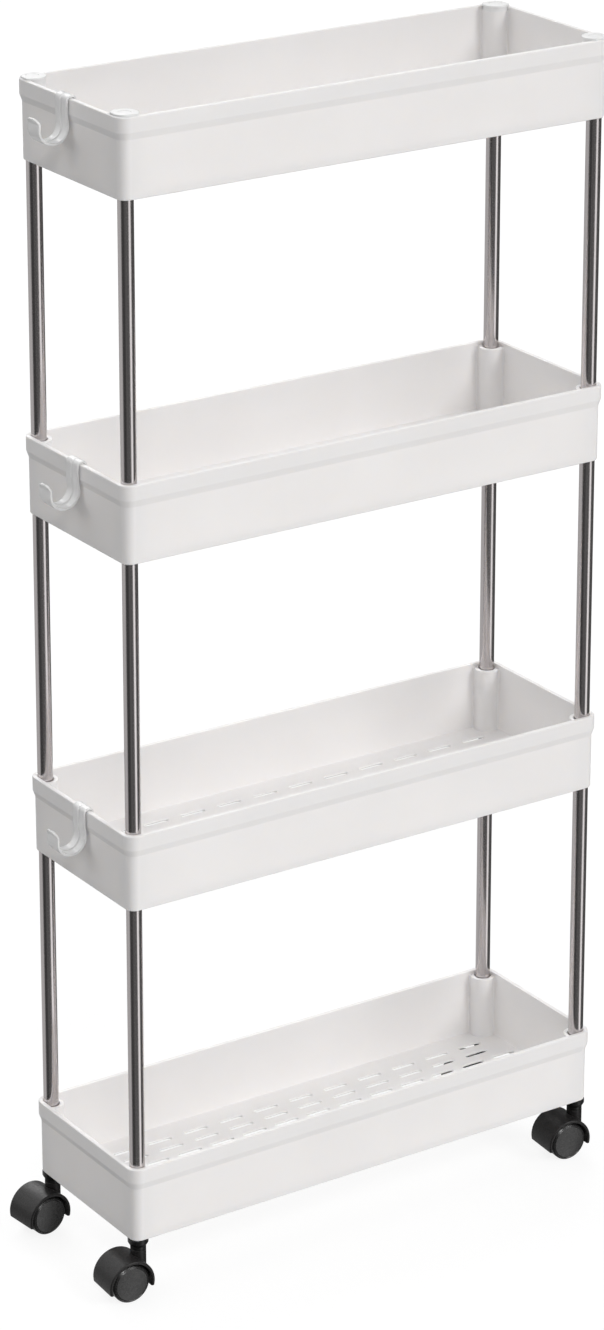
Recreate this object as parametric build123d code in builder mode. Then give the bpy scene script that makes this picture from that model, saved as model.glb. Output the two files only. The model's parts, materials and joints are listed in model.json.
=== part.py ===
from build123d import *
import os
from math import atan2, cos, degrees, radians, sin

# A slim rolling utility cart: four moulded trays on steel corner tubes, with three
# clip-on hooks and four swivelling twin-wheel casters.
# Millimetres. +X runs along the trays (the hooks are at the -X end), +Y runs to the back,
# +Z is up. The origin is on the floor, under the middle of the trays.

# ---- driving dimensions ----
tray_length = 400.0
tray_width = 136.0
tray_height = 56.5
tray_base = 42.7
tray_pitch = 252.0
tube_diameter = 11.0
tube_inset = 9.0
wheel_diameter = 28.5
caster_trail = 11.5
hook_width = 14.8

# ---- tray ----
rim_overhang = 1.7
rim_straight = 10.6
rim_taper_height = 5.0
rim_edge_radius = 0.8
wall_thickness = 1.6
wall_draft = 0.3
foot_radius = 1.2
floor_top = 5.2
floor_thickness = 1.8
underside_margin = 6.5
boss_radius = 9.0
boss_blend = 1.5
boss_recess = 3.0
bore_diameter = tube_diameter + 0.06
bore_mouth_diameter = 12.8
bore_mouth_depth = 2.4
lower_bore_depth = 24.0
upper_bore_floor = 28.0
slot_length = 20.0
slot_width = 3.3
# each slot row pair: distance from the tray's centre line, slots in the row, their pitch
slot_rows = ((6.5, 12, 30.0), (19.5, 14, 28.1), (32.5, 12, 30.3), (45.5, 12, 30.9))

tube_spacing_x = tray_length - 2 * tube_inset
tube_spacing_y = tray_width - 2 * tube_inset
wall_length = tray_length - 2 * rim_overhang
wall_width = tray_width - 2 * rim_overhang
rim_corner = tube_inset
wall_corner = rim_corner - rim_overhang
inner_inset = rim_overhang + wall_thickness
inner_length = tray_length - 2 * inner_inset
inner_width = tray_width - 2 * inner_inset
inner_corner = rim_corner - inner_inset
boss_top = tray_height - boss_recess
rim_taper = degrees(atan2(rim_overhang, rim_taper_height))

with BuildPart() as tray:
    # outer wall, drafted a little towards the foot
    with BuildSketch(Plane.XY.offset(tray_height)):
        RectangleRounded(wall_length, wall_width, wall_corner)
    extrude(amount=-tray_height, taper=wall_draft)
    fillet(tray.faces().sort_by(Axis.Z)[0].edges(), foot_radius)
    # rim band, tapered back into the wall at its lower edge
    with BuildSketch(Plane.XY.offset(tray_height)):
        RectangleRounded(tray_length, tray_width, rim_corner)
    extrude(amount=-rim_straight)
    with BuildSketch(Plane.XY.offset(tray_height - rim_straight)):
        RectangleRounded(tray_length, tray_width, rim_corner)
    extrude(amount=-rim_taper_height, taper=rim_taper)
    fillet(tray.faces().sort_by(Axis.Z)[-1].edges(), rim_edge_radius)
    # inside, left solid round the four corner tubes
    with BuildSketch(Plane.XY.offset(floor_top)) as hollow:
        RectangleRounded(inner_length, inner_width, inner_corner)
        with GridLocations(tube_spacing_x, tube_spacing_y, 2, 2):
            Circle(boss_radius, mode=Mode.SUBTRACT)
        fillet(hollow.vertices(), boss_blend)
    extrude(amount=tray_height - floor_top, mode=Mode.SUBTRACT)
    with BuildSketch(Plane.XY.offset(boss_top)):
        RectangleRounded(inner_length, inner_width, inner_corner)
    extrude(amount=boss_recess, mode=Mode.SUBTRACT)
    # underside, hollowed below the floor but not under the bosses
    with BuildSketch(Plane.XY):
        RectangleRounded(
            tray_length - 2 * underside_margin,
            tray_width - 2 * underside_margin,
            inner_corner,
        )
        with GridLocations(tube_spacing_x, tube_spacing_y, 2, 2):
            Circle(boss_radius, mode=Mode.SUBTRACT)
    extrude(amount=floor_top - floor_thickness, mode=Mode.SUBTRACT)
    # tube sockets, from above with a wider mouth, and from below
    with BuildSketch(Plane.XY.offset(boss_top)):
        with GridLocations(tube_spacing_x, tube_spacing_y, 2, 2):
            Circle(bore_diameter / 2)
    extrude(amount=upper_bore_floor - boss_top, mode=Mode.SUBTRACT)
    with BuildSketch(Plane.XY.offset(boss_top)):
        with GridLocations(tube_spacing_x, tube_spacing_y, 2, 2):
            Circle(bore_mouth_diameter / 2)
    extrude(amount=-bore_mouth_depth, mode=Mode.SUBTRACT)
    with BuildSketch(Plane.XY):
        with GridLocations(tube_spacing_x, tube_spacing_y, 2, 2):
            Circle(bore_diameter / 2)
    extrude(amount=lower_bore_depth, mode=Mode.SUBTRACT)
    # drain slots through the floor
    with BuildSketch(Plane.XY.offset(floor_top)):
        for row_offset, slot_count, slot_pitch in slot_rows:
            with GridLocations(slot_pitch, 2 * row_offset, slot_count, 2):
                SlotOverall(slot_length, slot_width)
    extrude(amount=-floor_thickness, mode=Mode.SUBTRACT)

# ---- corner tube between two trays, hollow ----
tube_wall = 0.8
tube_length = tray_pitch - upper_bore_floor + lower_bore_depth

with BuildPart() as tube:
    with BuildSketch(Plane.XY.offset(upper_bore_floor)):
        Circle(tube_diameter / 2)
        Circle(tube_diameter / 2 - tube_wall, mode=Mode.SUBTRACT)
    extrude(amount=tube_length)

# ---- cap over a top tray socket, drawn for the corner towards -X and -Y ----
cap_radius = 9.6
cap_margin = 1.0
cap_thickness = 1.6
cap_edge_radius = 0.6
cap_dish_radius = 4.8
cap_dish_depth = 0.4
cap_play = 0.2
spigot_diameter = 10.9
spigot_length = 13.0
spigot_chamfer = 0.8

with BuildPart() as cap:
    # plate: a disc round the socket, cut back just inside the rim's outer edge
    with BuildSketch(Plane.XY.offset(tray_height)):
        with Locations((tray_length / 2 - tube_inset, tray_width / 2 - tube_inset)):
            RectangleRounded(
                tray_length - 2 * cap_margin,
                tray_width - 2 * cap_margin,
                rim_corner - cap_margin,
            )
        Circle(cap_radius, mode=Mode.INTERSECT)
    extrude(amount=cap_thickness)
    fillet(cap.faces().sort_by(Axis.Z)[-1].edges(), cap_edge_radius)
    with BuildSketch(Plane.XY.offset(tray_height + cap_thickness)):
        Circle(cap_dish_radius)
    extrude(amount=-cap_dish_depth, taper=45, mode=Mode.SUBTRACT)
    # plug between the tray's walls, down onto the boss
    with BuildSketch(Plane.XY.offset(boss_top)):
        with Locations((tray_length / 2 - tube_inset, tray_width / 2 - tube_inset)):
            RectangleRounded(
                inner_length - 2 * cap_play,
                inner_width - 2 * cap_play,
                inner_corner - cap_play,
            )
        Circle(boss_radius - cap_play, mode=Mode.INTERSECT)
    extrude(amount=boss_recess)
    # spigot pushed into the socket
    with BuildSketch(Plane.XY.offset(boss_top)):
        Circle(spigot_diameter / 2)
    extrude(amount=-spigot_length)
    chamfer(cap.faces().sort_by(Axis.Z)[0].edges(), spigot_chamfer)

# ---- clip-on hook; its profile lies in XZ, from the rim's outer face and top edge ----
strip_thickness = 1.7
rib_thickness = 1.9
rib_width = 1.6
hook_tip_radius = 5.0
hook_tip_start = -16.0
hook_reach = 30.0
# corners of the strip's middle line, from the foot inside the tray to the tip, and the
# way that the rib's line stands off each of them, towards the throat
hook_corners = (
    (5.1, -8.0),
    (5.1, 1.15),
    (-1.5, 1.15),
    (-1.5, -11.5),
    (0.4, -29.6),
    (-23.4, -29.6),
    (-22.3, -14.8),
    (-24.2, -11.4),
)
rib_shifts = ((0, 1), (-1, 1), (-1, 0), (-1, 1), (1, 1), (1, 0), (0.9, 0.5))
hook_bends = (2.4, 2.4, 4.0, 10.6, 10.6, 3.0)
rib_start = (2.5, 1.15)
rib_corners = [
    (x + rib_thickness / 2 * away_x, z + rib_thickness / 2 * away_z)
    for (x, z), (away_x, away_z) in zip((rib_start,) + hook_corners[2:], rib_shifts)
]
rib_bends = (3.3, 3.6, 9.6, 9.6, 3.5)

with BuildPart() as hook_mask:
    # what is kept of the hook seen from its end: the tip has round corners
    with BuildSketch(Plane.YZ.offset(hook_tip_start)):
        with Locations((0, hook_corners[-1][1] - hook_reach / 2)):
            RectangleRounded(hook_width, hook_reach, hook_tip_radius)
        with Locations((0, hook_corners[-1][1] - hook_reach * 3 / 4)):
            Rectangle(hook_width, hook_reach / 2)
    extrude(amount=-hook_reach)
    with BuildSketch(Plane.YZ.offset(hook_tip_start)):
        Rectangle(hook_width, 3 * hook_reach)
    extrude(amount=hook_reach)

with BuildPart() as hook:
    with BuildSketch(Plane.XZ):
        with BuildLine() as strip_line:
            FilletPolyline(*hook_corners, radius=hook_bends)
        trace(strip_line.line, line_width=strip_thickness)
    extrude(amount=hook_width / 2, both=True)
    # stiffening rib along the middle of the strip, on the throat's side
    with BuildSketch(Plane.XZ):
        with BuildLine() as rib_line:
            FilletPolyline(*rib_corners, radius=rib_bends)
        trace(rib_line.line, line_width=rib_thickness)
    extrude(amount=rib_width / 2, both=True)
    add(hook_mask.part, mode=Mode.INTERSECT)

# ---- caster, drawn with its swivel axis on Z, the floor at 0 and its wheels towards -X ----
wheel_radius = wheel_diameter / 2
axle_height = wheel_radius
collar_radius = 7.35
collar_height = 2.9
collar_taper = 2.8
neck_radius = 5.65
socket_lip = 2.0
swivel_gap = 0.4
socket_plug_height = 22.0
stem_diameter = 6.0
stem_play = 0.05
stem_chamfer = 0.8
stem_top = tray_base + 18.0
stem_bottom = axle_height + 14.0
hood_radius = 17.7
hood_inner_radius = 15.4
hood_width = 27.0
hood_skirt = 4.2
web_thickness = 3.2
axle_diameter = 3.0
axle_length = 21.6
axle_chamfer = 0.3
wheel_inner_face = 2.1
wheel_outer_face = 12.2
wheel_crown = 0.7
wheel_bevel = 1.5
wheel_groove = 0.4
wheel_inner_chamfer = 0.4
wheel_play = 0.05
hub_radius = 4.0
tread_thickness = 3.0
recess_depth = 6.0
axle_bore_depth = 9.2

crown_edge = wheel_radius - wheel_bevel - 2 * wheel_groove
crown_sphere_radius = (crown_edge**2 + wheel_crown**2) / (2 * wheel_crown)
collar_bottom = tray_base - collar_height
taper_bottom = collar_bottom - collar_taper
socket_bottom = taper_bottom - socket_lip
neck_top = socket_bottom - swivel_gap

with BuildPart() as caster_socket:
    # plug in the tray's lower bore, collar under the tray, bore for the stem
    with BuildSketch(Plane.XZ):
        with BuildLine():
            Polyline(
                (stem_diameter / 2 + stem_play, socket_bottom),
                (neck_radius, socket_bottom),
                (neck_radius, taper_bottom),
                (collar_radius, collar_bottom),
                (collar_radius, tray_base),
                (tube_diameter / 2, tray_base),
                (tube_diameter / 2, tray_base + socket_plug_height),
                (0, tray_base + socket_plug_height),
                (0, stem_top + swivel_gap),
                (stem_diameter / 2 + stem_play, stem_top + swivel_gap),
                close=True,
            )
        make_face()
    revolve(axis=Axis.Z)

with BuildPart() as caster_stem:
    with BuildSketch(Plane.XY.offset(stem_bottom)):
        Circle(stem_diameter / 2)
    extrude(amount=stem_top - stem_bottom)
    chamfer(caster_stem.faces().sort_by(Axis.Z)[-1].edges(), stem_chamfer)

axle_plane = Plane(origin=(-caster_trail, 0, axle_height), x_dir=(1, 0, 0), z_dir=(0, -1, 0))

with BuildPart() as caster_hood:
    # solid drum and neck first
    with BuildSketch(axle_plane):
        Circle(hood_radius)
    extrude(amount=hood_width / 2, both=True)
    with BuildSketch(Plane.XY.offset(axle_height)):
        Circle(neck_radius)
    extrude(amount=neck_top - axle_height)
    # room for the two wheels, either side of a middle web
    for side in (1, -1):
        with BuildSketch(axle_plane.offset(side * web_thickness / 2)):
            Circle(hood_inner_radius)
        extrude(amount=side * hood_width, mode=Mode.SUBTRACT)
    # open below the skirt
    with BuildSketch(axle_plane):
        with Locations((0, -hood_skirt - hood_radius)):
            Rectangle(3 * hood_radius, 2 * hood_radius)
    extrude(amount=hood_width, both=True, mode=Mode.SUBTRACT)
    with BuildSketch(Plane.XY.offset(stem_bottom)):
        Circle(stem_diameter / 2)
    extrude(amount=neck_top - stem_bottom, mode=Mode.SUBTRACT)
    with BuildSketch(axle_plane):
        Circle(axle_diameter / 2)
    extrude(amount=web_thickness, both=True, mode=Mode.SUBTRACT)

with BuildPart() as caster_axle:
    with BuildSketch(axle_plane):
        Circle(axle_diameter / 2)
    extrude(amount=axle_length / 2, both=True)
    chamfer(caster_axle.edges().filter_by(GeomType.CIRCLE), axle_chamfer)

with BuildPart() as wheel:
    # half section, turned about the axle: x is the radius, z the way out of the hood
    with BuildSketch(Plane.XZ):
        with BuildLine():
            Polyline(
                (axle_diameter / 2 + wheel_play, wheel_inner_face),
                (hub_radius, wheel_inner_face),
                (hub_radius, wheel_inner_face + recess_depth),
                (wheel_radius - tread_thickness, wheel_inner_face + recess_depth),
                (wheel_radius - tread_thickness, wheel_inner_face),
                (wheel_radius - wheel_inner_chamfer, wheel_inner_face),
                (wheel_radius, wheel_inner_face + wheel_inner_chamfer),
                (wheel_radius, wheel_outer_face - wheel_bevel),
                (wheel_radius - wheel_bevel, wheel_outer_face),
                (wheel_radius - wheel_bevel - wheel_groove, wheel_outer_face - wheel_groove),
                (crown_edge, wheel_outer_face),
            )
            RadiusArc(
                (crown_edge, wheel_outer_face),
                (0, wheel_outer_face + wheel_crown),
                -crown_sphere_radius,
            )
            Polyline(
                (0, wheel_outer_face + wheel_crown),
                (0, wheel_inner_face + axle_bore_depth),
                (axle_diameter / 2 + wheel_play, wheel_inner_face + axle_bore_depth),
                (axle_diameter / 2 + wheel_play, wheel_inner_face),
            )
        make_face()
    revolve(axis=Axis.Z)


def place(shape, plane, label):
    """Set one finished piece on its plane in the cart and write it."""
    with BuildPart(plane) as piece:
        add(shape)
    piece.part.label = label
    export_step(piece.part, f"parts/{label}.step")


def upright(x, y, z, turn=0.0):
    """A level plane at a point, turned about +Z by an angle in degrees."""
    heading = (cos(radians(turn)), sin(radians(turn)), 0)
    return Plane(origin=(x, y, z), x_dir=heading, z_dir=(0, 0, 1))


os.makedirs("parts", exist_ok=True)

# corner name: side along X, side along Y, turn of its cap, swivel of its caster
corners = {
    "front_left": (-1, -1, 0, -3.4),
    "front_right": (1, -1, 90, -4.3),
    "back_right": (1, 1, 180, 2.0),
    "back_left": (-1, 1, 270, 5.5),
}
tray_names = ("bottom_tray", "lower_middle_tray", "upper_middle_tray", "top_tray")
bay_names = ("lower", "middle", "upper")
# tray that carries each hook, and where the hook sits along its rim
hooks = {"lower_hook": (1, -5.0), "middle_hook": (2, -3.3), "upper_hook": (3, 3.4)}

for level, tray_name in enumerate(tray_names):
    place(tray.part, upright(0, 0, tray_base + level * tray_pitch), tray_name)

for hook_name, (level, along_rim) in hooks.items():
    rim_top = tray_base + level * tray_pitch + tray_height
    place(hook.part, upright(-tray_length / 2, along_rim, rim_top), hook_name)

for corner, (side_x, side_y, cap_turn, swivel) in corners.items():
    x = side_x * tube_spacing_x / 2
    y = side_y * tube_spacing_y / 2
    for bay, bay_name in enumerate(bay_names):
        bay_plane = upright(x, y, tray_base + bay * tray_pitch)
        place(tube.part, bay_plane, f"{bay_name}_tube_{corner}")
    top_plane = upright(x, y, tray_base + (len(tray_names) - 1) * tray_pitch, cap_turn)
    place(cap.part, top_plane, f"socket_cap_{corner}")
    caster_plane = upright(x, y, 0, swivel)
    place(caster_socket.part, caster_plane, f"caster_socket_{corner}")
    place(caster_stem.part, caster_plane, f"caster_stem_{corner}")
    place(caster_hood.part, caster_plane, f"caster_hood_{corner}")
    place(caster_axle.part, caster_plane, f"caster_axle_{corner}")
    hub = caster_plane.from_local_coords((-caster_trail, 0, axle_height))
    for side, side_name in ((-1, "front"), (1, "back")):
        outwards = caster_plane.from_local_coords((0, side, 0)) - caster_plane.origin
        wheel_plane = Plane(origin=hub, x_dir=caster_plane.x_dir, z_dir=outwards)
        place(wheel.part, wheel_plane, f"{side_name}_wheel_{corner}")
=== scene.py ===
import json
from math import asin, atan2, cos, degrees, hypot, pi, radians, sin, sqrt, tan

import bmesh
import bpy
from mathutils import Matrix, Vector

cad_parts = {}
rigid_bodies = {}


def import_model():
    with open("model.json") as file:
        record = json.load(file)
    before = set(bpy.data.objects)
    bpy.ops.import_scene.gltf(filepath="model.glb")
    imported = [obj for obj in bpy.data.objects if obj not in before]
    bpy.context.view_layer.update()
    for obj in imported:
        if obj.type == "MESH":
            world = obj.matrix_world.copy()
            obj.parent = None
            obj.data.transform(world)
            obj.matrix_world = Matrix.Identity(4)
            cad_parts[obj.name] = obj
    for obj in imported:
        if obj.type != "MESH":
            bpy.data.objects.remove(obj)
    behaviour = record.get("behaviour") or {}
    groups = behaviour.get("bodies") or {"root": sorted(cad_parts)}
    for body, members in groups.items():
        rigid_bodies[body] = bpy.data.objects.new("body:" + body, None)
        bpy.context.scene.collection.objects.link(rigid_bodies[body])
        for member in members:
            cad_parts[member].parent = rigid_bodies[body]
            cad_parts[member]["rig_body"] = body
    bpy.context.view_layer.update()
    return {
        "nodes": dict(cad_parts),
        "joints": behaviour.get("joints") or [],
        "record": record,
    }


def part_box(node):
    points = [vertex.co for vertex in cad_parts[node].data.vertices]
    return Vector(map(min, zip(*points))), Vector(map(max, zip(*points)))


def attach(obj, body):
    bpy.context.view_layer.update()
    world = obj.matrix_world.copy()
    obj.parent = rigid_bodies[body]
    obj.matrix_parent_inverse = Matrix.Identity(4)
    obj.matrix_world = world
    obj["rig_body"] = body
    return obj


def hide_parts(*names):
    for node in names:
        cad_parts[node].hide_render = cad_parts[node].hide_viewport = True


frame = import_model()

# The looks of a slim rolling utility cart: moulded trays, steel tubes, socket caps, clip-on
# hooks and twin-wheel casters. Shapes are drawn in millimetres, each in its own frame, and set
# in place, in metres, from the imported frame.

MM = 0.001
CORNER_STEPS = 10
ROUND_STEPS = 4
TURN_STEPS = 72
BORE_STEPS = 48
SLOT_END_STEPS = 8
HOOK_BEND_STEPS = 10
DRUM_STEPS = 128
WHEEL_STEPS = 96
CROWN_STEPS = 10
EDGE_STEPS = 3
DRUM_EDGE_STEPS = 6
SMOOTH_ANGLE = radians(32)
WHEEL_SMOOTH_ANGLE = radians(24)
MERGE_DISTANCE = 0.0005
NOISE_LOW = 0.3
NOISE_HIGH = 0.7
# sockets of a Mix node set to colours, which has several of each name
MIX_FACTOR = 0
MIX_A = 6
MIX_B = 7
MIX_RESULT = 2

nodes = frame["nodes"]
record = frame["record"]
joints = {joint["name"]: joint for joint in frame["joints"]}
slot_of = {part["node"]: part["material_slot"] for part in record["subparts"]}
corner_names = ("front_left", "front_right", "back_right", "back_left")
tray_names = ("bottom_tray", "lower_middle_tray", "upper_middle_tray", "top_tray")
bay_names = ("lower", "middle", "upper")
hook_names = ("lower_hook", "middle_hook", "upper_hook")

# ---- sizes that several pieces share ----
tray_low, tray_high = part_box("bottom_tray")
tray_length = (tray_high.x - tray_low.x) / MM
tray_width = (tray_high.y - tray_low.y) / MM
tray_height = (tray_high.z - tray_low.z) / MM
tray_base = tray_low.z / MM
tray_pitch = (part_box("lower_middle_tray")[0].z - tray_low.z) / MM
tube_inset = 9.0
tube_radius = 5.5
tube_x = tray_length / 2 - tube_inset
tube_y = tray_width / 2 - tube_inset
bore_radius = 5.53
boss_recess = 3.0
boss_top = tray_height - boss_recess
upper_bore_floor = 28.0
lower_bore_depth = 24.0
inner_inset = 3.3


# ---- lines and rings ----

def arc(centre, radius, start, end, steps):
    """Points on an arc, from one angle in degrees to another."""
    points = []
    for step in range(steps + 1):
        angle = radians(start + (end - start) * step / steps)
        points.append((centre[0] + radius * cos(angle), centre[1] + radius * sin(angle)))
    return points


def circle(centre, radius, steps=BORE_STEPS):
    """Points once round a circle."""
    return arc(centre, radius, 0, 360, steps)[:-1]


def quarter_turned(points, quarters):
    """Points turned about the origin by so many quarter turns."""
    turn = radians(90 * quarters)
    return [(x * cos(turn) - y * sin(turn), x * sin(turn) + y * cos(turn)) for x, y in points]


def quarter_round(radius, steps):
    """The two distances of each step over a rounded edge: in from its first side, and to its second."""
    for step in range(steps + 1):
        angle = pi / 2 * step / steps
        yield radius * (1 - cos(angle)), radius * (1 - sin(angle))


def rounded(points, radii, steps=ROUND_STEPS):
    """A line through points with each corner rounded to its radius; 0 keeps it sharp."""
    line = []
    for i, (point, radius) in enumerate(zip(points, radii)):
        here = Vector(point)
        if radius == 0:
            line.append(tuple(here))
            continue
        before = (Vector(points[i - 1]) - here).normalized()
        after = (Vector(points[(i + 1) % len(points)]) - here).normalized()
        half = before.angle(after) / 2
        centre = here + (before + after).normalized() * (radius / sin(half))
        first = here + before * (radius / tan(half)) - centre
        last = here + after * (radius / tan(half)) - centre
        start = degrees(atan2(first.y, first.x))
        turn = (degrees(atan2(last.y, last.x)) - start + 180) % 360 - 180
        line += arc(centre, radius, start, start + turn, steps)
    return line


def ring(bm, points, z):
    """New vertices at one height, round an outline."""
    return [bm.verts.new((x, y, z)) for x, y in points]


def bridge(bm, one, other):
    """Quads between two closed rings with the same number of vertices."""
    for i in range(len(one)):
        bm.faces.new((one[i - 1], one[i], other[i], other[i - 1]))


def bridge_all(bm, rings):
    """Quads along a row of rings."""
    for one, other in zip(rings, rings[1:]):
        bridge(bm, one, other)


def fill(bm, *rings):
    """A flat face inside the first closed ring, with the others as its holes."""
    edges = []
    for loop in rings:
        for i in range(len(loop)):
            ends = (loop[i - 1], loop[i])
            edges.append(bm.edges.get(ends) or bm.edges.new(ends))
    bmesh.ops.triangle_fill(bm, use_beauty=True, use_dissolve=False, edges=edges, normal=(0, 0, 1))


def lathe(bm, profile, closed=False, steps=TURN_STEPS):
    """Turns a half section of (radius, height) points about Z; a point on the axis is one vertex."""
    rings = []
    for radius, height in profile:
        if radius < 1e-6:
            rings.append([bm.verts.new((0, 0, height))])
        else:
            rings.append(ring(bm, circle((0, 0), radius, steps), height))
    pairs = list(zip(rings, rings[1:]))
    if closed:
        pairs.append((rings[-1], rings[0]))
    for one, other in pairs:
        if len(one) == 1 or len(other) == 1:
            tip, rim = (one[0], other) if len(one) == 1 else (other[0], one)
            for i in range(len(rim)):
                bm.faces.new((tip, rim[i - 1], rim[i]))
        else:
            bridge(bm, one, other)


def finished(name, bm, smooth_angle=SMOOTH_ANGLE):
    """A mesh from bmesh work: normals outwards, smooth but for its real edges."""
    bmesh.ops.recalc_face_normals(bm, faces=bm.faces)
    mesh = bpy.data.meshes.new(name)
    bm.to_mesh(mesh)
    bm.free()
    mesh.polygons.foreach_set("use_smooth", [True] * len(mesh.polygons))
    mesh.set_sharp_from_angle(angle=smooth_angle)
    return mesh


# ---- tray ----
rim_overhang = 1.7
rim_straight = 10.6
rim_taper_height = 5.0
wall_draft = radians(0.3)
foot_radius = 1.2
floor_top = 5.2
floor_bottom = 3.4
floor_fillet = 1.1
underside_margin = 6.5
boss_radius = 9.0
boss_blend = 1.5
mouth_radius = 6.4
mouth_depth = 2.4
mouth_ledge = 0.1
slot_length = 20.0
slot_width = 3.3
slot_edge = 0.55
slot_flare = 1.1
# each pair of slot rows: distance from the centre line, slots in the row, their pitch
slot_rows = ((6.5, 12, 30.0), (19.5, 14, 28.1), (32.5, 12, 30.3), (45.5, 12, 30.9))

boss_wall = tube_inset - inner_inset
boss_lean = degrees(asin((boss_wall - boss_blend) / (boss_radius + boss_blend)))
boss_reach = (boss_radius + boss_blend) * cos(radians(boss_lean))


def round_the_tray(corner_points):
    """One corner's line, drawn about its tube for the corner at +X -Y, taken to all four."""
    outline = []
    sides = ((1, -1), (1, 1), (-1, 1), (-1, -1))
    for quarter, (side_x, side_y) in enumerate(sides):
        for x, y in quarter_turned(corner_points, quarter):
            outline.append((side_x * tube_x + x, side_y * tube_y + y))
    return outline


def wall_outline(inset):
    """The tray's plan, drawn in from its outer edge; its corners turn about the tubes."""
    distance = tube_inset - inset
    corner = [(-boss_reach, -distance)]
    corner += arc((0, 0), distance, -90, 0, CORNER_STEPS)
    corner.append((distance, boss_reach))
    return round_the_tray(corner)


def hollow_outline(inwards=0.0):
    """The inside below the boss tops, where it goes round each boss."""
    stand = boss_wall - boss_blend
    blend = boss_blend - inwards
    corner = arc((-boss_reach, -stand), blend, -90, boss_lean, CORNER_STEPS)
    corner += arc((0, 0), boss_radius + inwards, 180 + boss_lean, 90 - boss_lean, 2 * CORNER_STEPS)[1:]
    corner += arc((stand, boss_reach), blend, -90 - boss_lean, 0, CORNER_STEPS)[1:]
    return round_the_tray(corner)


def underside_outline():
    """The hollow below the floor, cut round each boss."""
    lean = degrees(asin((tube_inset - underside_margin) / boss_radius))
    return round_the_tray(arc((0, 0), boss_radius, 180 + lean, 90 - lean, 2 * CORNER_STEPS))


def clipped_disc(radius, distance):
    """A disc cut off by the walls of the corner at -X -Y, with a round corner between them."""
    cut = degrees(asin(distance / radius))
    outline = arc((0, 0), distance, 180, 270, CORNER_STEPS)
    outline += arc((0, 0), radius, -cut, 90 + cut, 4 * CORNER_STEPS)
    return outline


def mouth_outline(centre, quarter):
    """A socket's wider mouth, which stops just short of the two walls beside it."""
    disc = clipped_disc(mouth_radius, boss_wall - mouth_ledge)
    return [(centre[0] + x, centre[1] + y) for x, y in quarter_turned(disc, quarter + 1)]


def slot_outline(x, y, wider=0.0, longer=0.0):
    """One drain slot, round at both ends, drawn out by so much each way."""
    radius = slot_width / 2 + wider
    half = slot_length / 2 + longer - radius
    right_end = arc((x + half, y), radius, -90, 90, SLOT_END_STEPS)
    left_end = arc((x - half, y), radius, 90, 270, SLOT_END_STEPS)
    return right_end + left_end


def tray_wall_profile():
    """The wall's section as (inset, height), from under the foot to the top of the bosses."""
    foot = rim_overhang + tan(wall_draft) * tray_height
    shoulder = tray_height - rim_straight
    taper_foot = shoulder - rim_taper_height
    corners = (
        (underside_margin, 0),
        (foot, 0),
        (rim_overhang + tan(wall_draft) * (tray_height - taper_foot), taper_foot),
        (0, shoulder),
        (0, tray_height),
        (inner_inset, tray_height),
        (inner_inset, boss_top),
    )
    return rounded(corners, (0, foot_radius, 0.5, 1.0, 0.8, 0.5, 0))[1:]


def tray_mesh():
    bm = bmesh.new()
    tubes = [(side_x * tube_x, side_y * tube_y) for side_x in (1, -1) for side_y in (1, -1)]
    # wall, from the foot over the rim and down inside to the boss tops
    wall = [ring(bm, wall_outline(inset), z) for inset, z in tray_wall_profile()]
    bridge_all(bm, wall)
    # inside, round the bosses: the straight stretches share their ends with the wall above
    above = wall[-1]
    outline = hollow_outline()
    per_corner = len(outline) // 4
    above_per_corner = len(above) // 4
    ledge = []
    for quarter in range(4):
        top = above[quarter * above_per_corner:(quarter + 1) * above_per_corner]
        turn = outline[quarter * per_corner:(quarter + 1) * per_corner]
        boss_line = [top[0]] + ring(bm, turn[1:-1], boss_top) + [top[-1]]
        ledge += boss_line
        centre = min(tubes, key=lambda tube: hypot(tube[0] - top[0].co.x, tube[1] - top[0].co.y))
        mouth = ring(bm, mouth_outline(centre, quarter), boss_top)
        fill(bm, boss_line + top[-2:0:-1], mouth)
        mouth_floor = ring(bm, mouth_outline(centre, quarter), boss_top - mouth_depth)
        bridge(bm, mouth, mouth_floor)
        socket_bore(bm, centre, mouth_floor)
    inside = [ledge]
    for inwards, rise in quarter_round(floor_fillet, ROUND_STEPS):
        inside.append(ring(bm, hollow_outline(inwards), floor_top + rise))
    bridge_all(bm, inside)
    # floor, with the drain slots through it
    tops, bottoms = drain_slots(bm)
    fill(bm, inside[-1], *tops)
    roof = ring(bm, underside_outline(), floor_bottom)
    land = ring(bm, underside_outline(), 0)
    fill(bm, roof, *bottoms)
    bridge(bm, roof, land)
    # foot, with the lower sockets
    bores = []
    for centre in tubes:
        bore = ring(bm, circle(centre, bore_radius), 0)
        end = ring(bm, circle(centre, bore_radius), lower_bore_depth)
        bridge(bm, bore, end)
        fill(bm, end)
        bores.append(bore)
    fill(bm, wall[0], land, *bores)
    return finished("tray", bm)


def socket_bore(bm, centre, mouth_floor):
    """A tube's socket, down from the floor of its mouth."""
    neck = ring(bm, circle(centre, bore_radius), boss_top - mouth_depth)
    end = ring(bm, circle(centre, bore_radius), upper_bore_floor)
    fill(bm, mouth_floor, neck)
    bridge(bm, neck, end)
    fill(bm, end)


def drain_slots(bm):
    """Every slot's sides, rounded above and wider below; gives its top and bottom rings."""
    tops = []
    bottoms = []
    for distance, count, pitch in slot_rows:
        for side in (-1, 1):
            for place in range(count):
                x = (place - (count - 1) / 2) * pitch
                y = side * distance
                levels = []
                for depth, grow in quarter_round(slot_edge, EDGE_STEPS):
                    levels.append(ring(bm, slot_outline(x, y, grow, grow), floor_top - depth))
                levels.append(ring(bm, slot_outline(x, y), floor_bottom + slot_flare))
                levels.append(ring(bm, slot_outline(x, y, slot_flare), floor_bottom))
                bridge_all(bm, levels)
                tops.append(levels[0])
                bottoms.append(levels[-1])
    return tops, bottoms


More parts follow.
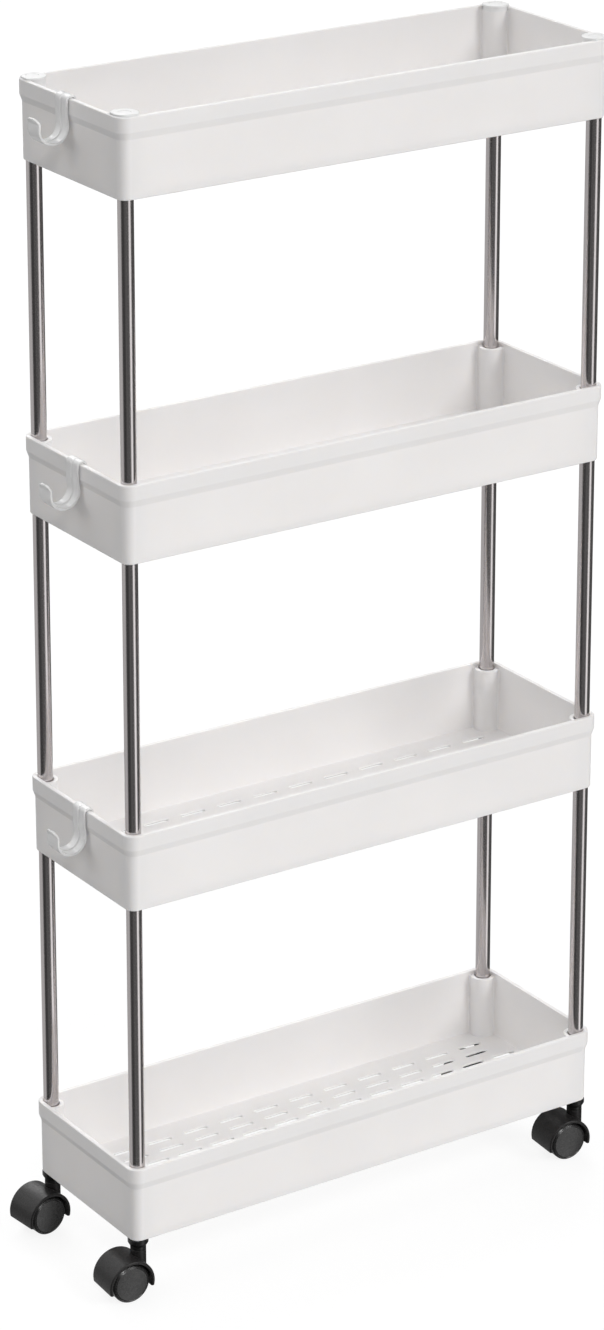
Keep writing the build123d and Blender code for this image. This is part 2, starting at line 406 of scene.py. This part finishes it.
# ---- tube, from the socket of one tray to the socket of the next ----
tube_wall = 0.8
tube_length = tray_pitch - upper_bore_floor + lower_bore_depth


def tube_mesh():
    bm = bmesh.new()
    low = upper_bore_floor
    high = upper_bore_floor + tube_length
    inner = tube_radius - tube_wall
    corners = ((inner, low), (tube_radius, low), (tube_radius, high), (inner, high))
    lathe(bm, rounded(corners, (0.2, 0.2, 0.2, 0.2)), closed=True)
    return finished("tube", bm)


# ---- cap over a top socket, drawn about its tube for the corner at -X -Y ----
cap_radius = 9.6
cap_margin = 1.0
cap_thickness = 1.6
cap_edge = 0.6
cap_dish_radius = 4.8
cap_dish_depth = 0.4
cap_play = 0.2
spigot_radius = 5.45
spigot_length = 13.0
spigot_chamfer = 0.8


def cap_mesh():
    bm = bmesh.new()
    distance = tube_inset - cap_margin
    top = tray_height + cap_thickness
    plate = [ring(bm, clipped_disc(cap_radius, distance), tray_height)]
    for inwards, drop in quarter_round(cap_edge, ROUND_STEPS):
        outline = clipped_disc(cap_radius - inwards, distance - inwards)
        plate.append(ring(bm, outline, top - drop))
    bridge_all(bm, plate)
    # shallow dish in the middle
    dish_profile = (
        (cap_dish_radius, top),
        (cap_dish_radius - cap_dish_depth, top - cap_dish_depth),
    )
    dish = [ring(bm, circle((0, 0), radius), z) for radius, z in dish_profile]
    fill(bm, plate[-1], dish[0])
    bridge(bm, dish[0], dish[1])
    fill(bm, dish[1])
    # plug between the walls, then the spigot
    plug_outline = clipped_disc(boss_radius - cap_play, boss_wall - cap_play)
    plug = [ring(bm, plug_outline, tray_height), ring(bm, plug_outline, boss_top)]
    fill(bm, plate[0], plug[0])
    bridge(bm, plug[0], plug[1])
    spigot_profile = (
        (spigot_radius, boss_top),
        (spigot_radius, boss_top - spigot_length + spigot_chamfer),
        (spigot_radius - spigot_chamfer, boss_top - spigot_length),
    )
    spigot = [ring(bm, circle((0, 0), radius), z) for radius, z in spigot_profile]
    fill(bm, plug[1], spigot[0])
    bridge_all(bm, spigot)
    fill(bm, spigot[2])
    return finished("cap", bm)


# ---- hook: a ribbed strip bent over the rim; x and z from the rim's outer face and top ----
hook_width = 14.8
strip_thickness = 1.7
rib_width = 1.6
rib_height = 1.9
hook_corners = (
    (5.1, -8.0),
    (5.1, 1.15),
    (-1.5, 1.15),
    (-1.5, -11.5),
    (0.4, -29.6),
    (-23.4, -29.6),
    (-22.3, -14.8),
    (-24.2, -11.4),
)
hook_bends = (0, 2.4, 2.4, 4.0, 10.6, 10.6, 3.0, 0)
hook_tip_radius = 5.0
hook_foot_radius = 1.5
hook_edge = 0.45
hook_step = 0.7
rib_start = 12.0
rib_run_in = 2.5
rib_least = 0.04
rib_ease = 0.35


def evenly(line, step):
    """Points along a line, evenly spaced, each with its distance and direction."""
    stations = []
    legs = [(Vector(a), Vector(b)) for a, b in zip(line, line[1:])]
    legs = [(a, b) for a, b in legs if (b - a).length > 1e-4]
    total = sum((b - a).length for a, b in legs)
    count = round(total / step)
    for i in range(count + 1):
        rest = total * i / count
        for a, b in legs:
            length = (b - a).length
            if rest <= length or (a, b) == legs[-1]:
                stations.append((a + (b - a) * (rest / length), total * i / count))
                break
            rest -= length
    placed = []
    for i, (point, distance) in enumerate(stations):
        before = stations[max(i - 1, 0)][0]
        after = stations[min(i + 1, count)][0]
        placed.append((point, (after - before).normalized(), distance))
    return placed, total


def corner_inset(distance, radius):
    """How far a round corner has come in at a distance from the end."""
    short = max(radius - distance, 0.0)
    return radius - sqrt(radius ** 2 - short ** 2)


def hook_mesh():
    bm = bmesh.new()
    stations, total = evenly(rounded(hook_corners, hook_bends, HOOK_BEND_STEPS), hook_step)
    rings = []
    for point, direction, distance in stations:
        to_tip = total - distance
        width = hook_width / 2 - corner_inset(to_tip, hook_tip_radius)
        width -= corner_inset(distance, hook_foot_radius)
        half = strip_thickness / 2 - corner_inset(min(distance, to_tip), hook_edge)
        half = max(half, strip_thickness / 2 - hook_edge)
        run = min(max((distance - rib_start) / rib_run_in, 0), to_tip / rib_run_in, 1)
        rib = half + rib_least + (rib_height - half - rib_least) * run * run * (3 - 2 * run)
        edge = hook_edge * half / (strip_thickness / 2)
        ease = min(rib_ease, (rib - half) * 0.45)
        section = rounded(
            (
                (-half, -width),
                (-half, width),
                (half, width),
                (half, rib_width / 2 + ease),
                (rib, rib_width / 2),
                (rib, -rib_width / 2),
                (half, -rib_width / 2 - ease),
                (half, -width),
            ),
            (edge, edge, edge, ease, ease, ease, ease, edge),
            EDGE_STEPS,
        )
        throat = Vector((direction.y, -direction.x))
        loop = []
        for away, y in section:
            x, z = point + throat * away
            loop.append(bm.verts.new((x, y, z)))
        rings.append(loop)
    bridge_all(bm, rings)
    bm.faces.new(rings[0])
    bm.faces.new(rings[-1])
    return finished("hook", bm)


# ---- caster, drawn with its swivel axis on Z, the floor at 0 and its wheels towards -X ----
hub = Vector(joints["front_wheel_spin_front_left"]["pos_m"]) / MM
swivel = Vector(joints["caster_swivel_front_left"]["pos_m"]) / MM
axle_height = hub.z
wheel_radius = axle_height
caster_trail = hypot(hub.x - swivel.x, hub.y - swivel.y)
stem_bore = 3.05
stem_top = tray_base + 18.0
swivel_gap = 0.4
collar_radius = 7.35
collar_bottom = tray_base - 2.9
taper_bottom = collar_bottom - 2.8
socket_bottom = taper_bottom - 2.0
neck_radius = 5.65
neck_top = socket_bottom - swivel_gap
plug_top = tray_base + 22.0
hood_radius = 17.7
hood_inner_radius = 15.4
hood_half_width = 13.5
hood_skirt = 4.2
hood_lip = 0.6
hood_end_radius = 1.0
pocket_past_lip = 5.0
cut_margin = 0.01
web_half = 1.6
wheel_bore = 1.55
wheel_inner_face = 2.1
wheel_outer_face = 12.2
wheel_crown = 0.7
wheel_bevel = 1.5
wheel_groove = 0.4
wheel_hub = 4.0
wheel_tread = 3.0
wheel_recess = 6.0
wheel_bore_depth = 9.2


def caster_socket_mesh():
    bm = bmesh.new()
    corners = (
        (0, stem_top + swivel_gap),
        (stem_bore, stem_top + swivel_gap),
        (stem_bore, socket_bottom),
        (neck_radius, socket_bottom),
        (neck_radius, taper_bottom),
        (collar_radius, collar_bottom),
        (collar_radius, tray_base),
        (tube_radius, tray_base),
        (tube_radius, plug_top),
        (0, plug_top),
    )
    lathe(bm, rounded(corners, (0, 0, 0.2, 0.35, 0.6, 0.5, 0.25, 0, 0.5, 0)))
    return finished("caster_socket", bm)


def boolean(mesh, cutter, operation):
    """One mesh joined with or cut by another."""
    base = bpy.data.objects.new("base", mesh)
    tool = bpy.data.objects.new("tool", cutter)
    bpy.context.scene.collection.objects.link(base)
    bpy.context.scene.collection.objects.link(tool)
    modifier = base.modifiers.new("cut", "BOOLEAN")
    modifier.operation = operation
    modifier.solver = "EXACT"
    modifier.object = tool
    done = bpy.data.meshes.new_from_object(base.evaluated_get(bpy.context.evaluated_depsgraph_get()))
    bpy.data.objects.remove(base)
    bpy.data.objects.remove(tool)
    return done


def about_axle(side=1):
    """From a shape turned about Z to one on the caster's axle."""
    turn = Matrix.Rotation(radians(90) * side, 4, "X")
    return Matrix.Translation((-caster_trail, 0, axle_height)) @ turn


def turned(name, profile, plane=None, closed=False, steps=TURN_STEPS):
    """A mesh turned from a profile and set on a plane."""
    bm = bmesh.new()
    lathe(bm, profile, closed, steps)
    if plane is not None:
        bmesh.ops.transform(bm, matrix=plane, verts=bm.verts)
    return finished(name, bm)


def hood_mesh():
    wide = hood_half_width
    drum_corners = ((0, -wide), (hood_radius, -wide), (hood_radius, wide), (0, wide))
    drum_line = rounded(drum_corners, (0, hood_end_radius, hood_end_radius, 0), DRUM_EDGE_STEPS)
    hood = turned("drum", drum_line, about_axle(), steps=DRUM_STEPS)
    neck_corners = (
        (0, axle_height),
        (neck_radius, axle_height),
        (neck_radius, neck_top),
        (0, neck_top),
    )
    neck = turned("neck", rounded(neck_corners, (0, 0, 0.5, 0)))
    hood = boolean(hood, neck, "UNION")
    # a pocket for each wheel, open past the lip, whose edge is eased
    for side in (1, -1):
        pocket_corners = (
            (0, web_half),
            (hood_inner_radius, web_half),
            (hood_inner_radius, wide - hood_lip),
            (hood_inner_radius + hood_lip, wide + cut_margin),
            (hood_inner_radius + hood_lip, wide + pocket_past_lip),
            (0, wide + pocket_past_lip),
        )
        profile = rounded(pocket_corners, (0, 1.0, 0.8, 0, 0, 0))
        pocket = turned("pocket", profile, about_axle(side), steps=DRUM_STEPS)
        hood = boolean(hood, pocket, "DIFFERENCE")
    bm = bmesh.new()
    bm.from_mesh(hood)
    cut = bmesh.ops.bisect_plane(
        bm,
        geom=bm.verts[:] + bm.edges[:] + bm.faces[:],
        plane_co=(0, 0, axle_height - hood_skirt),
        plane_no=(0, 0, 1),
        clear_inner=True,
    )
    edges = [item for item in cut["geom_cut"] if isinstance(item, bmesh.types.BMEdge)]
    bmesh.ops.triangle_fill(bm, use_beauty=True, edges=edges)
    bmesh.ops.remove_doubles(bm, verts=bm.verts, dist=MERGE_DISTANCE)
    return finished("caster_hood", bm)


def wheel_mesh():
    face = wheel_outer_face
    edge = wheel_radius - wheel_bevel
    crown_edge = edge - 2 * wheel_groove
    corners = [
        (0, wheel_inner_face + wheel_bore_depth),
        (wheel_bore, wheel_inner_face + wheel_bore_depth),
        (wheel_bore, wheel_inner_face),
        (wheel_hub, wheel_inner_face),
        (wheel_hub, wheel_inner_face + wheel_recess),
        (wheel_radius - wheel_tread, wheel_inner_face + wheel_recess),
        (wheel_radius - wheel_tread, wheel_inner_face),
        (wheel_radius, wheel_inner_face),
        (wheel_radius, face - wheel_bevel),
        (edge, face),
        (edge - wheel_groove, face - wheel_groove),
        (crown_edge, face),
    ]
    line = rounded(corners, (0, 0, 0.2, 0.3, 0.3, 0.3, 0.3, 0.5, 0.6, 0.3, 0, 0))
    crown_radius = (crown_edge ** 2 + wheel_crown ** 2) / (2 * wheel_crown)
    for step in range(1, CROWN_STEPS + 1):
        radius = crown_edge * (1 - step / CROWN_STEPS)
        sink = crown_radius - sqrt(crown_radius ** 2 - radius ** 2)
        line.append((radius, face + wheel_crown - sink))
    bm = bmesh.new()
    lathe(bm, line, steps=WHEEL_STEPS)
    return finished("wheel", bm, WHEEL_SMOOTH_ANGLE)


# ---- materials ----

def new_material(name, **sockets):
    """A node material with its plain values set on the shader itself."""
    made = bpy.data.materials.new(name)
    made.use_nodes = True
    shader = made.node_tree.nodes["Principled BSDF"]
    for socket, value in sockets.items():
        shader.inputs[socket.replace("_", " ")].default_value = value
    return made, made.node_tree, shader


def noise(tree, scale, detail=2.0, stretch=(1, 1, 1)):
    """Soft procedural noise over the piece's own coordinates, in features per metre."""
    where = tree.nodes.new("ShaderNodeTexCoord")
    mapping = tree.nodes.new("ShaderNodeMapping")
    mapping.inputs["Scale"].default_value = stretch
    texture = tree.nodes.new("ShaderNodeTexNoise")
    texture.inputs["Scale"].default_value = scale
    texture.inputs["Detail"].default_value = detail
    tree.links.new(where.outputs["Object"], mapping.inputs["Vector"])
    tree.links.new(mapping.outputs["Vector"], texture.inputs["Vector"])
    return texture.outputs["Fac"]


def spread(tree, fac, low, high, socket):
    """Takes the middle of a noise to a range of values for a shader socket."""
    ranged = tree.nodes.new("ShaderNodeMapRange")
    ranged.inputs["From Min"].default_value = NOISE_LOW
    ranged.inputs["From Max"].default_value = NOISE_HIGH
    ranged.inputs["To Min"].default_value = low
    ranged.inputs["To Max"].default_value = high
    tree.links.new(fac, ranged.inputs["Value"])
    tree.links.new(ranged.outputs["Result"], socket)


def tint(tree, fac, low, high, socket):
    """Takes the middle of a noise from one colour to another."""
    ramp = tree.nodes.new("ShaderNodeValToRGB")
    ramp.color_ramp.elements[0].position = NOISE_LOW
    ramp.color_ramp.elements[0].color = (*low, 1)
    ramp.color_ramp.elements[1].position = NOISE_HIGH
    ramp.color_ramp.elements[1].color = (*high, 1)
    tree.links.new(fac, ramp.inputs["Fac"])
    tree.links.new(ramp.outputs["Color"], socket)


def bumped(tree, shader, *layers):
    """Surface relief from several noises, each with its height in metres."""
    normal = None
    for fac, height in layers:
        bump = tree.nodes.new("ShaderNodeBump")
        bump.inputs["Strength"].default_value = 1.0
        bump.inputs["Distance"].default_value = height
        tree.links.new(fac, bump.inputs["Height"])
        if normal is not None:
            tree.links.new(normal, bump.inputs["Normal"])
        normal = bump.outputs["Normal"]
    tree.links.new(normal, shader.inputs["Normal"])


def tray_plastic():
    """White moulded polypropylene: faint cloudiness, fine grain, walls not quite flat."""
    made, tree, shader = new_material(
        "tray_plastic",
        IOR=1.49,
        Specular_IOR_Level=0.45,
        Subsurface_Weight=1.0,
        Subsurface_Scale=0.001,
        Subsurface_Radius=(1.0, 0.97, 0.92),
    )
    cloud = noise(tree, 11, 3)
    tint(tree, cloud, (0.848, 0.834, 0.829), (0.878, 0.864, 0.859), shader.inputs["Base Color"])
    spread(tree, noise(tree, 38, 4), 0.38, 0.52, shader.inputs["Roughness"])
    bumped(tree, shader, (noise(tree, 16, 1), 0.0008), (noise(tree, 1500, 2), 0.000012))
    return made


def cap_plastic():
    made, tree, shader = new_material("cap_plastic", IOR=1.49)
    tint(tree, noise(tree, 60, 2), (0.81, 0.81, 0.81), (0.85, 0.85, 0.85), shader.inputs["Base Color"])
    spread(tree, noise(tree, 120, 3), 0.28, 0.4, shader.inputs["Roughness"])
    bumped(tree, shader, (noise(tree, 1600, 2), 0.000008))
    return made


def steel_tube():
    """Polished stainless tube, with faint lines drawn along it."""
    made, tree, shader = new_material("steel_tube", Metallic=1.0)
    drawn = (1, 1, 0.004)
    lines = noise(tree, 2400, 3, drawn)
    tint(tree, lines, (0.52, 0.49, 0.49), (0.645, 0.61, 0.61), shader.inputs["Base Color"])
    spread(tree, noise(tree, 900, 3, drawn), 0.14, 0.26, shader.inputs["Roughness"])
    bumped(tree, shader, (lines, 0.000003))
    return made


def hook_plastic():
    """Clear plastic with a little milk in it."""
    made, tree, shader = new_material("hook_plastic", IOR=1.49, Transmission_Weight=0.2)
    tint(tree, noise(tree, 160, 2), (0.92, 0.92, 0.92), (0.96, 0.96, 0.96), shader.inputs["Base Color"])
    spread(tree, noise(tree, 220, 2), 0.12, 0.26, shader.inputs["Roughness"])
    bumped(tree, shader, (noise(tree, 500, 1), 0.00003))
    return made


def black_nylon(name, dark, light, smooth, rough, grain, relief, gloss):
    """Black moulded nylon with a fine eroded texture."""
    made, tree, shader = new_material(name, IOR=1.5, Specular_IOR_Level=gloss)
    texture = noise(tree, grain, 3)
    tint(tree, texture, dark, light, shader.inputs["Base Color"])
    spread(tree, noise(tree, grain / 3, 2), smooth, rough, shader.inputs["Roughness"])
    bumped(tree, shader, (texture, relief))
    return made


def pin_steel():
    made, tree, shader = new_material("pin_steel", Metallic=1.0)
    tint(tree, noise(tree, 900, 3), (0.45, 0.45, 0.46), (0.58, 0.58, 0.59), shader.inputs["Base Color"])
    spread(tree, noise(tree, 600, 3), 0.25, 0.4, shader.inputs["Roughness"])
    return made


materials = {
    "tray_plastic": tray_plastic(),
    "cap_plastic": cap_plastic(),
    "steel_tube": steel_tube(),
    "hook_plastic": hook_plastic(),
    "caster_socket_plastic": black_nylon(
        "caster_socket_plastic",
        dark=(0.004, 0.004, 0.004),
        light=(0.010, 0.010, 0.010),
        smooth=0.26,
        rough=0.38,
        grain=900,
        relief=0.00002,
        gloss=0.4,
    ),
    "caster_plastic": black_nylon(
        "caster_plastic",
        dark=(0.005, 0.005, 0.005),
        light=(0.028, 0.026, 0.026),
        smooth=0.3,
        rough=0.46,
        grain=1300,
        relief=0.00005,
        gloss=0.24,
    ),
    "wheel_plastic": black_nylon(
        "wheel_plastic",
        dark=(0.004, 0.004, 0.004),
        light=(0.026, 0.025, 0.025),
        smooth=0.2,
        rough=0.34,
        grain=1500,
        relief=0.00002,
        gloss=0.55,
    ),
    "pin_steel": pin_steel(),
}


# ---- setting the pieces in place ----

def upright(x, y, z, turn=0.0):
    """The plane of a piece that stands on Z, turned about it by an angle in radians."""
    return Matrix.Translation((x, y, z)) @ Matrix.Rotation(turn, 4, "Z")


def add_piece(node, mesh, plane):
    """A copy of a finished mesh that stands for a CAD node and rides with its body."""
    shape = mesh.copy()
    shape.transform(Matrix.Scale(MM, 4) @ plane)
    shape.materials.append(materials[slot_of[node]])
    made = bpy.data.objects.new(f"{node}_fine", shape)
    bpy.context.scene.collection.objects.link(made)
    shading = made.modifiers.new("even_shading", "WEIGHTED_NORMAL")
    shading.keep_sharp = True
    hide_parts(node)
    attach(made, nodes[node]["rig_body"])


def add_trays():
    mesh = tray_mesh()
    for node in tray_names:
        add_piece(node, mesh, upright(0, 0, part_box(node)[0].z / MM))


def add_tubes_and_caps():
    tube = tube_mesh()
    cap = cap_mesh()
    top = tray_base + (len(tray_names) - 1) * tray_pitch
    for quarter, corner in enumerate(corner_names):
        swivel_at = Vector(joints[f"caster_swivel_{corner}"]["pos_m"]) / MM
        for bay, bay_name in enumerate(bay_names):
            plane = upright(swivel_at.x, swivel_at.y, tray_base + bay * tray_pitch)
            add_piece(f"{bay_name}_tube_{corner}", tube, plane)
        plane = upright(swivel_at.x, swivel_at.y, top, radians(90 * quarter))
        add_piece(f"socket_cap_{corner}", cap, plane)


def add_hooks():
    mesh = hook_mesh()
    for node, tray in zip(hook_names, tray_names[1:]):
        low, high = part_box(node)
        plane = upright(-tray_length / 2, (low.y + high.y) / 2 / MM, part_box(tray)[1].z / MM)
        add_piece(node, mesh, plane)


def add_casters():
    socket = caster_socket_mesh()
    hood = hood_mesh()
    wheel = wheel_mesh()
    for corner in corner_names:
        swivel_at = Vector(joints[f"caster_swivel_{corner}"]["pos_m"]) / MM
        hub_at = Vector(joints[f"front_wheel_spin_{corner}"]["pos_m"]) / MM
        turn = atan2(swivel_at.y - hub_at.y, swivel_at.x - hub_at.x)
        plane = upright(swivel_at.x, swivel_at.y, 0, turn)
        add_piece(f"caster_socket_{corner}", socket, plane)
        add_piece(f"caster_hood_{corner}", hood, plane)
        add_piece(f"front_wheel_{corner}", wheel, plane @ about_axle(1))
        add_piece(f"back_wheel_{corner}", wheel, plane @ about_axle(-1))
        for pin in ("stem", "axle"):
            node = f"caster_{pin}_{corner}"
            nodes[node].data.materials.clear()
            nodes[node].data.materials.append(materials["pin_steel"])


add_trays()
add_tubes_and_caps()
add_hooks()
add_casters()


# ---- studio: pale floor, soft light, dark sides for the steel to reflect ----

def add_floor():
    size = 30.0
    bm = bmesh.new()
    corners = [bm.verts.new((x * size, y * size, 0)) for x, y in ((-1, -1), (1, -1), (1, 1), (-1, 1))]
    bm.faces.new(corners)
    mesh = bpy.data.meshes.new("floor")
    bm.to_mesh(mesh)
    bm.free()
    made, tree, shader = new_material(
        "floor_paper",
        Roughness=0.9,
        Emission_Color=(1, 1, 1, 1),
        Emission_Strength=0.86,
    )
    tint(tree, noise(tree, 0.8, 2), (0.14, 0.14, 0.14), (0.15, 0.15, 0.15), shader.inputs["Base Color"])
    mesh.materials.append(made)
    floor = bpy.data.objects.new("floor", mesh)
    floor.visible_glossy = False
    floor.visible_diffuse = False
    floor.visible_shadow = False
    bpy.context.scene.collection.objects.link(floor)


def add_sun(name, direction, strength, spread_deg, mirrored=True):
    """A soft light from a direction; one that isn't mirrored leaves no glint in shiny pieces."""
    light = bpy.data.lights.new(name, "SUN")
    light.energy = strength
    light.angle = radians(spread_deg)
    lamp = bpy.data.objects.new(name, light)
    lamp.visible_glossy = mirrored
    lamp.rotation_mode = "QUATERNION"
    lamp.rotation_quaternion = Vector(direction).to_track_quat("Z", "Y")
    bpy.context.scene.collection.objects.link(lamp)


# what stands round the cart, by bearing in degrees from +X towards +Y, and how bright it is
surroundings = (
    (-180, 0.06),
    (-150, 0.06),
    (-136, 0.13),
    (-84, 0.13),
    (-76, 1.3),
    (-56, 1.3),
    (-48, 0.10),
    (40, 0.10),
    (60, 0.55),
    (130, 0.6),
    (164, 0.6),
    (176, 0.1),
    (180, 0.06),
)
ceiling_brightness = 1.0
backdrop_brightness = 1.0
even_brightness = 0.1
ceiling_from = 0.35
ceiling_full = 0.65


def add_world():
    world = bpy.data.worlds.new("studio")
    world.use_nodes = True
    tree = world.node_tree
    background = tree.nodes["Background"]
    where = tree.nodes.new("ShaderNodeTexCoord")
    apart = tree.nodes.new("ShaderNodeSeparateXYZ")
    tree.links.new(where.outputs["Generated"], apart.inputs["Vector"])
    bearing = tree.nodes.new("ShaderNodeMath")
    bearing.operation = "ARCTAN2"
    tree.links.new(apart.outputs["Y"], bearing.inputs[0])
    tree.links.new(apart.outputs["X"], bearing.inputs[1])
    share = tree.nodes.new("ShaderNodeMapRange")
    share.inputs["From Min"].default_value = -pi
    share.inputs["From Max"].default_value = pi
    tree.links.new(bearing.outputs["Value"], share.inputs["Value"])
    walls = tree.nodes.new("ShaderNodeValToRGB")
    stops = walls.color_ramp.elements
    for i, (angle, brightness) in enumerate(surroundings):
        position = (angle + 180) / 360
        stop = stops[i] if i < 2 else stops.new(position)
        stop.position = position
        stop.color = (brightness, brightness, brightness, 1)
    tree.links.new(share.outputs["Result"], walls.inputs["Fac"])
    height = tree.nodes.new("ShaderNodeMapRange")
    height.interpolation_type = "SMOOTHSTEP"
    height.inputs["From Min"].default_value = ceiling_from
    height.inputs["From Max"].default_value = ceiling_full
    tree.links.new(apart.outputs["Z"], height.inputs["Value"])
    room = tree.nodes.new("ShaderNodeMix")
    room.data_type = "RGBA"
    room.inputs[MIX_B].default_value = (ceiling_brightness, ceiling_brightness, ceiling_brightness, 1)
    tree.links.new(height.outputs["Result"], room.inputs[MIX_FACTOR])
    tree.links.new(walls.outputs["Color"], room.inputs[MIX_A])
    # the bands stand only in the shiny pieces; the rest of the light is even
    path = tree.nodes.new("ShaderNodeLightPath")
    lit = tree.nodes.new("ShaderNodeMix")
    lit.data_type = "RGBA"
    lit.inputs[MIX_A].default_value = (even_brightness, even_brightness, even_brightness, 1)
    tree.links.new(path.outputs["Is Glossy Ray"], lit.inputs[MIX_FACTOR])
    tree.links.new(room.outputs[MIX_RESULT], lit.inputs[MIX_B])
    # the camera sees a plain white backdrop past the floor's edge
    seen = tree.nodes.new("ShaderNodeMix")
    seen.data_type = "RGBA"
    seen.inputs[MIX_B].default_value = (backdrop_brightness, backdrop_brightness, backdrop_brightness, 1)
    tree.links.new(path.outputs["Is Camera Ray"], seen.inputs[MIX_FACTOR])
    tree.links.new(lit.outputs[MIX_RESULT], seen.inputs[MIX_A])
    tree.links.new(seen.outputs[MIX_RESULT], background.inputs["Color"])
    bpy.context.scene.world = world


def add_camera():
    """The viewing angle of a standing photographer in front, to the left, with a long lens."""
    bearing = radians(33.58)
    down = radians(17.19)
    data = bpy.data.cameras.new("camera")
    data.lens = 120.6
    data.sensor_width = 36.0
    data.shift_y = -0.26
    camera = bpy.data.objects.new("camera", data)
    camera.location = (-1.641, -2.451, 1.581)
    looking = Vector((sin(bearing) * cos(down), cos(bearing) * cos(down), -sin(down)))
    camera.rotation_mode = "QUATERNION"
    camera.rotation_quaternion = looking.to_track_quat("-Z", "Y")
    bpy.context.scene.collection.objects.link(camera)
    bpy.context.scene.camera = camera


add_floor()
add_world()
add_sun("key", (0.363, -0.732, 0.574), 1.3, 25)
add_sun("fill", (-0.35, -0.65, 0.67), 0.65, 14)
add_sun("back", (0.3, 0.75, 0.6), 1.1, 40)
add_sun("left", (-0.6, 0.45, 0.65), 1.13, 70)
add_sun("bounce", (0.2, -0.8, -0.8), 1.7, 120, mirrored=False)
add_camera()
bpy.context.scene.view_settings.view_transform = "Standard"
